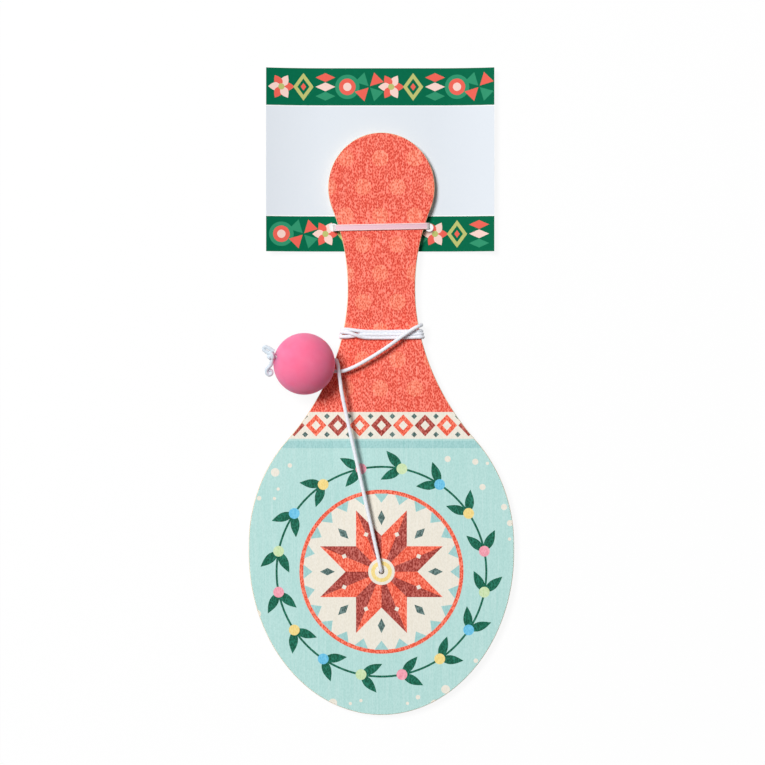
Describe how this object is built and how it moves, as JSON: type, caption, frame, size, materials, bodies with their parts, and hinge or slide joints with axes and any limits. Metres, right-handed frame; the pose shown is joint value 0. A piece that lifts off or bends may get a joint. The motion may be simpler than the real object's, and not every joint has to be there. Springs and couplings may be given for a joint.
{
  "type": "paddle ball game",
  "caption": "Flat wooden paddle with a rubber ball on an elastic cord wound round the handle, and a card strapped behind the handle.",
  "frame": {"origin": "centre of the length and width, on the table that the part lies on", "axes": "+Z out of the paddle's printed face, +Y from the blade to the handle, +X to the right seen from the face"},
  "size_m": [0.1278, 0.312, 0.0295],
  "materials": {
    "printed_ply": "printed, satin",
    "core_ply": "sawn edge",
    "bare_ply": "sanded",
    "elastic_cord": "braided",
    "pink_rubber": "matt",
    "printed_card": "satin print",
    "nylon_strap": "translucent"
  },
  "bodies": {
    "paddle": {"paddle_front_ply": "printed_ply", "paddle_core_ply": "core_ply", "paddle_back_ply": "bare_ply", "anchor_knot": "elastic_cord", "cord_run": "elastic_cord", "cord_winding": "elastic_cord", "cord_lead": "elastic_cord"},
    "ball_cord": {"ball_cord": "elastic_cord"},
    "ball_knot": {"ball_knot": "elastic_cord"},
    "ball": {"ball": "pink_rubber"},
    "card": {"card": "printed_card", "strap": "nylon_strap"}
  },
  "joints": [
    {"name": "ball_lift", "type": "hinge", "parent": "paddle", "child": "ball_cord", "pos_m": [-0.02195, 0.00953, 0.00977], "axis": [0.2267, 0.974, 0], "range_deg": [0, 20]},
    {"name": "ball_pull", "type": "slide", "parent": "ball_cord", "child": "ball_knot", "axis": [-0.9263, 0.2156, 0.309], "range_m": [0, 0.06], "stiffness_N_per_m": 20, "springref_m": -0.015, "deforming": ["ball_cord"]},
    {"name": "ball_spin", "type": "hinge", "parent": "ball_knot", "child": "ball", "pos_m": [-0.03686, 0.013, 0.01475], "axis": [-0.9263, 0.2156, 0.309], "continuous": true},
    {"name": "card_slide", "type": "slide", "parent": "paddle", "child": "card", "axis": [0, -1, 0], "range_m": [0, 0.03]}
  ]
}
